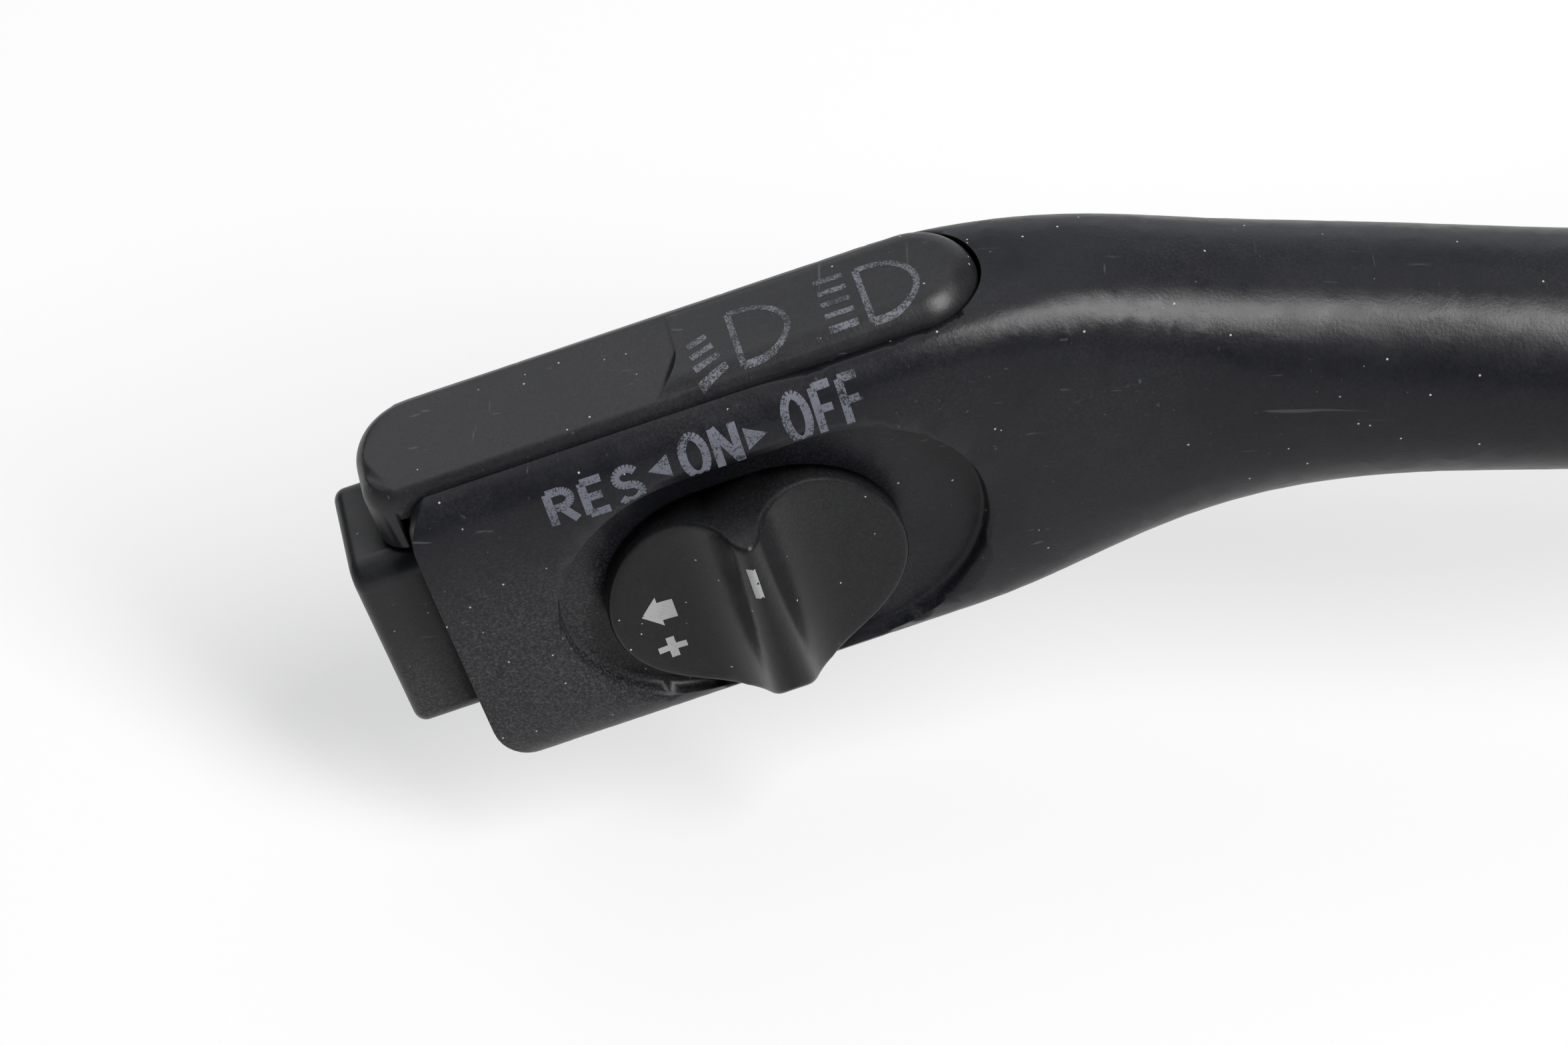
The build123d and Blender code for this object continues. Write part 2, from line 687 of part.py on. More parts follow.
# Three bent contact leaves between the carriage and the board
with BuildPart() as slider_wipers:
    for leaf in range(WIPER_COUNT):
        leaf_y = KNOB_RISE + (leaf - (WIPER_COUNT - 1) / 2) * WIPER_PITCH - WIPER_WIDTH / 2
        with BuildSketch(Plane(origin=in_head(knob_x, leaf_y, 0), x_dir=right, z_dir=up)):
            with BuildLine():
                Polyline(
                    (-SLIDE_LENGTH / 3, slide_back),
                    (0, slide_back),
                    (SLIDE_LENGTH / 3, board_front - SEAT_FIT - WIPER_THICKNESS),
                    (SLIDE_LENGTH / 3, board_front - SEAT_FIT),
                    (-WIPER_THICKNESS / 2, slide_back + WIPER_THICKNESS),
                    (-SLIDE_LENGTH / 3, slide_back + WIPER_THICKNESS),
                    close=True,
                )
            make_face()
        extrude(amount=WIPER_WIDTH)
save(slider_wipers, "slider_wipers")

# Wire bundle from the head board down the neck and through the arm
with BuildPart() as wire_bundle:
    with BuildLine() as bundle_route:
        FilletPolyline(*wire_points, radius=WIRE_BEND)
    with BuildSketch(Plane(origin=bundle_route.line @ 0, z_dir=bundle_route.line % 0)):
        Circle(WIRE_BUNDLE / 2)
    sweep(path=bundle_route.line)
save(wire_bundle, "wire_bundle")

# Metal arm on the beam pivot
arm_half = ARM_SIDE / 2
barrel_height = YOKE_HEIGHT - 2 * YOKE_ARM - 2 * RUNNING_GAP
nose_end = pivot.X + ARM_NOSE
beam_bore_start = pivot.X + PIN_DIAMETER / 2 + BEAM_BORE_WALL
beam_tip = pivot.X + BEAM_PLUNGER_REACH
beam_plunger_start = beam_tip - BEAM_PLUNGER_LENGTH
pivot_axis = Plane(origin=(pivot.X, pivot.Y, -barrel_height / 2), z_dir=(0, 0, 1))
with BuildPart() as lever_root_arm:
    slab((arm_tip.X, nose_end), (pivot.Y - arm_half, pivot.Y + arm_half), (-arm_half, arm_half))
    rod(pivot_axis, BARREL_DIAMETER, barrel_height)
    rod(pivot_axis, PIN_DIAMETER + 2 * PIN_FIT, barrel_height, Mode.SUBTRACT)
    rod(facing_right(arm_tip.X), WIRE_BORE, wire_end.X - arm_tip.X, Mode.SUBTRACT)
    slab(
        (wire_end.X - ARM_SIDE, wire_end.X),
        (pivot.Y - WIRE_BORE / 2, pivot.Y + WIRE_BORE / 2),
        (-arm_half, 0),
        Mode.SUBTRACT,
    )
    rod(
        facing_right(beam_bore_start),
        BEAM_PLUNGER_DIAMETER + 2 * PIN_FIT,
        nose_end - beam_bore_start,
        Mode.SUBTRACT,
    )
save(lever_root_arm, "lever_root_arm")

with BuildPart() as beam_pivot_pin:
    rod(
        Plane(origin=(pivot.X, pivot.Y, -YOKE_HEIGHT / 2), z_dir=(0, 0, 1)),
        PIN_DIAMETER,
        YOKE_HEIGHT,
    )
save(beam_pivot_pin, "beam_pivot_pin")


def plunger(start, diameter, length):
    """A round-nosed detent plunger that points right."""
    rod(facing_right(start), diameter, length - diameter / 2)
    with Locations((start + length - diameter / 2, pivot.Y, pivot.Z)):
        Sphere(diameter / 2)


with BuildPart() as beam_detent_plunger:
    plunger(beam_plunger_start, BEAM_PLUNGER_DIAMETER, BEAM_PLUNGER_LENGTH)
save(beam_detent_plunger, "beam_detent_plunger")

with BuildPart() as beam_detent_spring:
    coil(
        Vector(beam_bore_start, pivot.Y, pivot.Z),
        Vector(1, 0, 0),
        (BEAM_PLUNGER_DIAMETER - SPRING_WIRE) / 2 - PIN_FIT,
        SPRING_WIRE,
        beam_plunger_start - beam_bore_start,
        BEAM_TURNS,
    )
save(beam_detent_spring, "beam_detent_spring")

# Yoke that carries the beam pivot and swings on two trunnions
turn_bore_start = web_outer + TURN_BORE_START
turn_plunger_start = turn_bore_start + TURN_SPRING_LENGTH
with BuildPart() as yoke:
    slab(
        (pivot.X - YOKE_FRONT, web_outer),
        (yoke_front_y, yoke_back_y),
        (-YOKE_HEIGHT / 2, YOKE_HEIGHT / 2),
    )
    slab(
        (pivot.X - YOKE_FRONT, web_inner),
        (yoke_front_y + YOKE_CHEEK, yoke_back_y - YOKE_CHEEK),
        (YOKE_ARM - YOKE_HEIGHT / 2, YOKE_HEIGHT / 2 - YOKE_ARM),
        Mode.SUBTRACT,
    )
    slab(
        (web_outer, tail_end),
        (pivot.Y - TAIL_WIDTH / 2, pivot.Y + TAIL_WIDTH / 2),
        (-TAIL_WIDTH / 2, TAIL_WIDTH / 2),
    )
    rod(facing_rear(pivot.X, pivot.Z, yoke_back_y), TRUNNION_DIAMETER, rear_trunnion)
    rod(
        facing_rear(pivot.X, pivot.Z, yoke_front_y - TRUNNION_LENGTH),
        TRUNNION_DIAMETER,
        TRUNNION_LENGTH,
    )
    rod(
        Plane(origin=(pivot.X, pivot.Y, -YOKE_HEIGHT / 2), z_dir=(0, 0, 1)),
        PIN_DIAMETER + 2 * PIN_FIT,
        YOKE_HEIGHT,
        Mode.SUBTRACT,
    )
    rod(
        facing_rear(carriage_x, pivot.Z, pivot.Y + TAIL_WIDTH / 2), PEG_DIAMETER, PEG_LENGTH
    )
    rod(
        facing_right(turn_bore_start),
        TURN_PLUNGER_DIAMETER + 2 * PIN_FIT,
        tail_end - turn_bore_start,
        Mode.SUBTRACT,
    )
    # Three valleys of the beam detent in the web
    for step in (-1, 0, 1):
        valley = radians(step * BEAM_SWING)
        rod(
            Plane(
                origin=(
                    web_inner - DETENT_GROOVE + DETENT_DEPTH,
                    pivot.Y + BEAM_PLUNGER_REACH * sin(valley),
                    YOKE_ARM - YOKE_HEIGHT / 2,
                ),
                z_dir=(0, 0, 1),
            ),
            2 * DETENT_GROOVE,
            YOKE_HEIGHT - 2 * YOKE_ARM,
            Mode.SUBTRACT,
        )
save(yoke, "turn_signal_yoke")

with BuildPart() as turn_detent_plunger:
    plunger(turn_plunger_start, TURN_PLUNGER_DIAMETER, TURN_PLUNGER_LENGTH)
save(turn_detent_plunger, "turn_detent_plunger")

with BuildPart() as turn_detent_spring:
    coil(
        Vector(turn_bore_start, pivot.Y, pivot.Z),
        Vector(1, 0, 0),
        (TURN_PLUNGER_DIAMETER - SPRING_WIRE) / 2 - PIN_FIT,
        SPRING_WIRE,
        TURN_SPRING_LENGTH,
        SPRING_TURNS,
    )
save(turn_detent_spring, "turn_detent_spring")

# Curved detent track with a valley for left, middle and right
track_radius = turn_radius + RUNNING_GAP
track_y = (pivot.Y - TAIL_WIDTH / 2, pivot.Y + TAIL_WIDTH / 2)
with BuildPart() as detent_track:
    slab((track_left, inner_x[1]), track_y, (-TRACK_HEIGHT / 2, TRACK_HEIGHT / 2))
    rod(facing_rear(pivot.X, pivot.Z, track_y[0]), 2 * track_radius, TAIL_WIDTH, Mode.SUBTRACT)
    for step in (-1, 0, 1):
        valley = radians(step * TURN_SWING)
        groove_radius = track_radius + DETENT_DEPTH - DETENT_GROOVE
        rod(
            facing_rear(
                pivot.X + groove_radius * cos(valley), groove_radius * sin(valley), track_y[0]
            ),
            2 * DETENT_GROOVE,
            TAIL_WIDTH,
            Mode.SUBTRACT,
        )
save(detent_track, "detent_track")

# Turn contact carriage that the peg drags up and down
carriage_y = (plate_front - CONTACT_GAP - CARRIAGE_THICKNESS, plate_front - CONTACT_GAP)
peg_slot = PEG_DIAMETER / 2 + RUNNING_GAP
with BuildPart() as turn_contact_carriage:
    slab(
        (carriage_x - CARRIAGE_LENGTH / 2, carriage_x + CARRIAGE_LENGTH / 2),
        carriage_y,
        (-CARRIAGE_HEIGHT / 2, CARRIAGE_HEIGHT / 2),
    )
    slab(
        (carriage_x - peg_slot - RUNNING_GAP, carriage_x + peg_slot + RUNNING_GAP),
        (carriage_y[0], carriage_y[0] + CARRIAGE_THICKNESS - CONTACT_GAP),
        (-peg_slot + PIN_FIT, peg_slot - PIN_FIT),
        Mode.SUBTRACT,
    )
save(turn_contact_carriage, "turn_contact_carriage")

with BuildPart() as turn_contact_bridges:
    for bridge in (-1, 1):
        bridge_z = bridge * (CARRIAGE_HEIGHT / 2 - CONTACT_WIDTH)
        slab(
            (carriage_x - CARRIAGE_LENGTH / 3, carriage_x + CARRIAGE_LENGTH / 3),
            (carriage_y[1], carriage_y[1] + CONTACT_GAP - SEAT_FIT),
            (bridge_z - CONTACT_WIDTH / 2, bridge_z + CONTACT_WIDTH / 2),
        )
save(turn_contact_bridges, "turn_contact_bridges")

# Contact plate with the rear trunnion bearing and the carriage rails
plate_x = post_x - POST_DIAMETER / 2 - SEAT_FIT
with BuildPart() as contact_plate:
    slab(
        (-plate_x, plate_x),
        (plate_front, plate_back),
        (SEAT_FIT - inner_half, inner_half - SEAT_FIT),
    )
    rod(
        facing_rear(pivot.X, pivot.Z, plate_front),
        TRUNNION_DIAMETER + 2 * PIN_FIT,
        PLATE_THICKNESS,
        Mode.SUBTRACT,
    )
    for side in (-1, 1):
        rail = carriage_x + side * (CARRIAGE_LENGTH / 2 + RUNNING_GAP + RAIL_WIDTH / 2)
        slab(
            (rail - RAIL_WIDTH / 2, rail + RAIL_WIDTH / 2),
            (carriage_y[0] + CARRIAGE_THICKNESS / 2, plate_front),
            (-CARRIAGE_HEIGHT, CARRIAGE_HEIGHT),
        )
save(contact_plate, "contact_plate")

with BuildPart() as connector_pins:
    for slot_x in terminal_slots:
        slab(
            (slot_x - TERMINAL_SIDE / 2, slot_x + TERMINAL_SIDE / 2),
            (plate_back, TERMINAL_REACH),
            (-TERMINAL_DROP - TERMINAL_SIDE / 2, TERMINAL_SIDE / 2 - TERMINAL_DROP),
        )
save(connector_pins, "connector_pins")

# Housing with its posts, trunnion boss, lever window, pawl slot and ears
window_y = YOKE_WIDTH / 2 - YOKE_CHEEK + SWEEP_GAP
window_z = YOKE_HEIGHT / 2 - YOKE_ARM + SWEEP_GAP
pawl_wall_run = wall_right - pawl_x
pawl_slot = PAWL_WIDTH / 2 + pawl_wall_run * sin(radians(PAWL_SWING)) + SWEEP_GAP
post_points = [(side_x * post_x, side_z * post_z) for side_x in (-1, 1) for side_z in (-1, 1)]
with BuildPart() as module_housing:
    with BuildSketch(rear):
        RectangleRounded(HOUSING_LENGTH, HOUSING_HEIGHT, HOUSING_CORNER)
    extrude(amount=-HOUSING_DEPTH)
    with BuildSketch(rear):
        Rectangle(HOUSING_LENGTH - 2 * HOUSING_WALL, HOUSING_HEIGHT - 2 * HOUSING_WALL)
    extrude(amount=-HOUSING_DEPTH + HOUSING_WALL, mode=Mode.SUBTRACT)
    with BuildSketch(rear.offset(-HOUSING_WALL)):
        with Locations(*post_points):
            Circle(POST_DIAMETER / 2)
    extrude(amount=-POST_LENGTH)
    with BuildSketch(rear.offset(-HOUSING_WALL)):
        with Locations(*post_points):
            Circle(SCREW_SHANK / 2 + PIN_FIT)
    extrude(amount=-SCREW_LENGTH, mode=Mode.SUBTRACT)
    rod(
        facing_rear(pivot.X, pivot.Z, inner_front),
        TRUNNION_DIAMETER + 2 * BOSS_WALL,
        boss_end - inner_front,
    )
    rod(
        facing_rear(pivot.X, pivot.Z, inner_front),
        TRUNNION_DIAMETER + 2 * PIN_FIT,
        boss_end - inner_front,
        Mode.SUBTRACT,
    )
    slab(
        (wall_left, wall_left + HOUSING_WALL),
        (pivot.Y - window_y, pivot.Y + window_y),
        (-window_z, window_z),
        Mode.SUBTRACT,
    )
    slab(
        (inner_x[1], wall_right),
        (pawl_layer[0] - RUNNING_GAP, pawl_layer[1] + RUNNING_GAP),
        (-pawl_slot, pawl_slot),
        Mode.SUBTRACT,
    )
    # Post that holds the leaf of the pawl
    slab(
        (leaf_root - LEAF_POST, leaf_root),
        (inner_front, pawl_layer[1]),
        (-LEAF_POST / 2, LEAF_POST / 2),
    )
    for side in (-1, 1):
        with BuildSketch(rear):
            with Locations((0, side * (half_height + EAR_REACH / 2 - HOUSING_WALL / 2))):
                Rectangle(EAR_WIDTH, EAR_REACH + HOUSING_WALL)
        extrude(amount=-EAR_THICKNESS)
        # Two gussets under each ear
        gusset_foot = side * (half_height - HOUSING_WALL / 2)
        for gusset_x in (-1, 1):
            with BuildSketch(facing_right(gusset_x * (EAR_WIDTH - GUSSET_WIDTH) / 2)):
                with BuildLine():
                    Polyline(
                        (-EAR_THICKNESS - pivot.Y, gusset_foot),
                        (-EAR_THICKNESS - pivot.Y, side * (half_height + GUSSET_REACH)),
                        (-EAR_THICKNESS - GUSSET_DEPTH - pivot.Y, side * half_height),
                        (-EAR_THICKNESS - GUSSET_DEPTH - pivot.Y, gusset_foot),
                        close=True,
                    )
                make_face()
            extrude(amount=GUSSET_WIDTH / 2, both=True)
    with BuildSketch(rear):
        Rectangle(HOUSING_LENGTH - 2 * HOUSING_WALL, HOUSING_HEIGHT - 2 * HOUSING_WALL)
    extrude(amount=-HOUSING_WALL, mode=Mode.SUBTRACT)
    with BuildSketch(rear):
        with Locations(*mount_points):
            Circle(BOLT_HOLE / 2 + BUSH_WALL)
    extrude(amount=-EAR_THICKNESS, mode=Mode.SUBTRACT)
save(module_housing, "module_housing")

with BuildPart() as mounting_bushes:
    with BuildSketch(rear):
        with Locations(*mount_points):
            Circle(BOLT_HOLE / 2 + BUSH_WALL)
            Circle(BOLT_HOLE / 2, mode=Mode.SUBTRACT)
    extrude(amount=-EAR_THICKNESS)
save(mounting_bushes, "mounting_bushes")

with BuildPart() as module_rear_cover:
    with BuildSketch(rear):
        Rectangle(
            HOUSING_LENGTH - 2 * HOUSING_WALL - 2 * SEAT_FIT,
            HOUSING_HEIGHT - 2 * HOUSING_WALL - 2 * SEAT_FIT,
        )
        with Locations((0, -TERMINAL_DROP)):
            Rectangle(terminal_span, TERMINAL_WINDOW, mode=Mode.SUBTRACT)
    extrude(amount=-HOUSING_WALL)
    with BuildSketch(rear):
        with Locations(*post_points):
            Circle(SCREW_HEAD_DIAMETER / 2 + SEAT_FIT)
    extrude(amount=-SCREW_HEAD_HEIGHT, mode=Mode.SUBTRACT)
    with BuildSketch(rear):
        with Locations(*post_points):
            Circle(SCREW_SHANK / 2 + SEAT_FIT)
    extrude(amount=-HOUSING_WALL, mode=Mode.SUBTRACT)
save(module_rear_cover, "module_rear_cover")

with BuildPart() as cover_screws:
    with BuildSketch(rear):
        with Locations(*post_points):
            Circle(SCREW_HEAD_DIAMETER / 2)
            RegularPolygon(SCREW_SOCKET / 2, 6, mode=Mode.SUBTRACT)
    extrude(amount=-SCREW_HEAD_HEIGHT / 2)
    with BuildSketch(rear.offset(-SCREW_HEAD_HEIGHT / 2)):
        with Locations(*post_points):
            Circle(SCREW_HEAD_DIAMETER / 2)
    extrude(amount=-SCREW_HEAD_HEIGHT / 2)
    with BuildSketch(rear.offset(-SCREW_HEAD_HEIGHT)):
        with Locations(*post_points):
            Circle(SCREW_SHANK / 2)
    extrude(amount=-SCREW_LENGTH)
save(cover_screws, "cover_screws")

with BuildPart() as connector_shroud:
    with BuildSketch(rear):
        RectangleRounded(SHROUD_LENGTH, SHROUD_HEIGHT, SHROUD_WALL)
        Rectangle(
            SHROUD_LENGTH - 2 * SHROUD_WALL, SHROUD_HEIGHT - 2 * SHROUD_WALL, mode=Mode.SUBTRACT
        )
    extrude(amount=SHROUD_DEPTH)
    # Ramp that the plug's latch clicks over
    ramp_end = SHROUD_DEPTH - LATCH_SETBACK
    with BuildSketch(facing_right(0)):
        with BuildLine():
            Polyline(
                (ramp_end - LATCH_LENGTH - pivot.Y, SHROUD_HEIGHT / 2 - SHROUD_WALL / 2),
                (ramp_end - LATCH_LENGTH - pivot.Y, SHROUD_HEIGHT / 2 + LATCH_RISE),
                (ramp_end - pivot.Y, SHROUD_HEIGHT / 2),
                (ramp_end - pivot.Y, SHROUD_HEIGHT / 2 - SHROUD_WALL / 2),
                close=True,
            )
        make_face()
    extrude(amount=LATCH_WIDTH / 2, both=True)
save(connector_shroud, "connector_shroud")

# Self-cancelling pawl, its pin and the leaf that centres it
with BuildPart() as cancel_pawl:
    with BuildSketch(Plane(origin=(pawl_x, pawl_layer[0], 0), x_dir=(1, 0, 0), z_dir=(0, 1, 0))):
        with Locations(((PAWL_NOSE - PAWL_TAIL) / 2, 0)):
            SlotOverall(PAWL_NOSE + PAWL_TAIL, PAWL_WIDTH)
        Circle(PAWL_PIN_DIAMETER / 2 + PIN_FIT, mode=Mode.SUBTRACT)
        with Locations((-PAWL_TAIL, 0)):
            Rectangle(2 * PAWL_NOTCH, PAWL_LEAF + 2 * RUNNING_GAP, mode=Mode.SUBTRACT)
    extrude(amount=PAWL_THICKNESS)
save(cancel_pawl, "cancel_pawl")

with BuildPart() as cancel_pawl_pin:
    rod(
        facing_rear(pawl_x, 0, inner_front),
        PAWL_PIN_DIAMETER,
        pawl_layer[1] - inner_front + SWEEP_GAP,
    )
save(cancel_pawl_pin, "cancel_pawl_pin")

with BuildPart() as cancel_pawl_leaf:
    slab(
        (leaf_root, pawl_x - PAWL_TAIL + PAWL_NOTCH - RUNNING_GAP),
        (pawl_layer[0] + RUNNING_GAP, pawl_layer[1] - RUNNING_GAP),
        (-PAWL_LEAF / 2, PAWL_LEAF / 2),
    )
save(cancel_pawl_leaf, "cancel_pawl_leaf")
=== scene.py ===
import json
import math
import bmesh
import bpy
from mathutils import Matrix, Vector
from mathutils.bvhtree import BVHTree

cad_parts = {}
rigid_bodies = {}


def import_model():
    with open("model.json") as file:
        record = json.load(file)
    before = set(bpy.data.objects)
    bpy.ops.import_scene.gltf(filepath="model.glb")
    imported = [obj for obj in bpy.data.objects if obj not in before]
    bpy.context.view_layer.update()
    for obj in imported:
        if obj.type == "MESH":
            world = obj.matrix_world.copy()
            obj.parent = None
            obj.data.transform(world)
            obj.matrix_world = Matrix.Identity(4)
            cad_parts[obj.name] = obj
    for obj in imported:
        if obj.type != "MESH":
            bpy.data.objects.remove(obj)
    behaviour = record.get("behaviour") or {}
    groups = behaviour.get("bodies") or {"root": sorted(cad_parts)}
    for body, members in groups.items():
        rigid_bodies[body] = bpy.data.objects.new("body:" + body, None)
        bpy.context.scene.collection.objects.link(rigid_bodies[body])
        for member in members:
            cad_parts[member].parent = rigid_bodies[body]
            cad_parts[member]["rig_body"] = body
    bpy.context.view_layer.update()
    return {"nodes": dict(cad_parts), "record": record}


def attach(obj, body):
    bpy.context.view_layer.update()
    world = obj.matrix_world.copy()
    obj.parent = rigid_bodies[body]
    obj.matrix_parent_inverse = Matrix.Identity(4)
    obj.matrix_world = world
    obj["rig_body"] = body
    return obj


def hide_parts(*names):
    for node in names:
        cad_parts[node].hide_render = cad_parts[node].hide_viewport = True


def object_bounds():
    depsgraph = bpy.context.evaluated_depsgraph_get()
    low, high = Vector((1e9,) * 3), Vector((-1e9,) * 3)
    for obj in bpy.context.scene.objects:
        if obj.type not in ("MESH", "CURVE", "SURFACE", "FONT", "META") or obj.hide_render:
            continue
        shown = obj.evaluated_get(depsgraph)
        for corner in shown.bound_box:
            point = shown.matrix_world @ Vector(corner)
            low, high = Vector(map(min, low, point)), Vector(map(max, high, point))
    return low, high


MM = 0.001

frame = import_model()
nodes = frame["nodes"]

# Grip head frame: centre of its front face, then right, out of the face, and up
HEAD_CENTRE = Vector((-140.0, -36.0, -8.0)) * MM
YAW, PITCH = math.radians(13.4), math.radians(13.0)
RIGHT = Vector((math.cos(YAW) * math.cos(PITCH), math.sin(YAW) * math.cos(PITCH), math.sin(PITCH)))
OUT = Vector((math.sin(YAW), -math.cos(YAW), 0.0))
UP = Vector((-math.cos(YAW) * math.sin(PITCH), -math.sin(YAW) * math.sin(PITCH), math.cos(PITCH)))


def in_head(right, out, up):
    return HEAD_CENTRE + (RIGHT * right + OUT * out + UP * up) * MM


# Materials
class Shader:
    """A material built node by node on the object's own coordinates."""

    def __init__(self, name):
        self.material = bpy.data.materials.new(name)
        self.material.use_nodes = True
        self.tree = self.material.node_tree
        self.tree.nodes.clear()
        self.output = self.add("ShaderNodeOutputMaterial")
        self.place = self.add("ShaderNodeTexCoord").outputs["Object"]

    def add(self, kind, inputs=None, **settings):
        node = self.tree.nodes.new(kind)
        for key, value in settings.items():
            setattr(node, key, value)
        for key, value in (inputs or {}).items():
            self.set(node.inputs[key], value)
        return node

    def set(self, socket, value):
        if isinstance(value, bpy.types.NodeSocket):
            self.tree.links.new(value, socket)
        else:
            socket.default_value = value

    def noise(self, scale, detail=2.0, roughness=0.5, place=None, distortion=0.0):
        node = self.add("ShaderNodeTexNoise", {
            "Vector": place or self.place, "Scale": scale, "Detail": detail,
            "Roughness": roughness, "Distortion": distortion,
        })
        return node.outputs["Fac"]

    def stretch(self, factors, turn=(0.0, 0.0, 0.0)):
        """The object's coordinates turned and scaled, for grain that runs one way."""
        node = self.add("ShaderNodeMapping", {"Vector": self.place, "Rotation": turn, "Scale": factors})
        return node.outputs["Vector"]

    def ramp(self, value, low, high, to_low=0.0, to_high=1.0):
        node = self.add("ShaderNodeMapRange", {
            "Value": value, "From Min": low, "From Max": high, "To Min": to_low, "To Max": to_high,
        }, interpolation_type="SMOOTHSTEP")
        return node.outputs["Result"]

    def maths(self, operation, *values, clamp=False):
        node = self.add("ShaderNodeMath", operation=operation, use_clamp=clamp)
        for socket, value in zip(node.inputs, values):
            self.set(socket, value)
        return node.outputs[0]

    def mix(self, share, first, second):
        node = self.add("ShaderNodeMix", data_type="RGBA")
        self.set(node.inputs[0], share)
        self.set(node.inputs[6], first)
        self.set(node.inputs[7], second)
        return node.outputs[2]

    def specks(self, scale, size, share):
        """Round specks in a share of the cells."""
        cells = self.add("ShaderNodeTexVoronoi", {"Vector": self.place, "Scale": scale, "Randomness": 1.0})
        near = self.ramp(cells.outputs["Distance"], size, size * 0.5)
        split = self.add("ShaderNodeSeparateColor", {"Color": cells.outputs["Color"]})
        chosen = self.maths("LESS_THAN", split.outputs[0], share)
        return self.maths("MULTIPLY", near, chosen)

    def finish(self, surface):
        self.tree.links.new(surface, self.output.inputs["Surface"])
        return self.material


def rgb(red, green, blue):
    return (red, green, blue, 1.0)


def lighter(colour, factor):
    return rgb(*(min(1.0, part * factor) for part in colour[:3]))


HAIRLINE = rgb(0.11, 0.11, 0.12)
DUST_FILM = rgb(0.12, 0.12, 0.12)
THICK_DUST = rgb(0.13, 0.13, 0.125)
DUST_SPECK = rgb(0.50, 0.49, 0.46)
GRAIN_SCALE = 4300.0
SKIN_GLOSS = 0.20


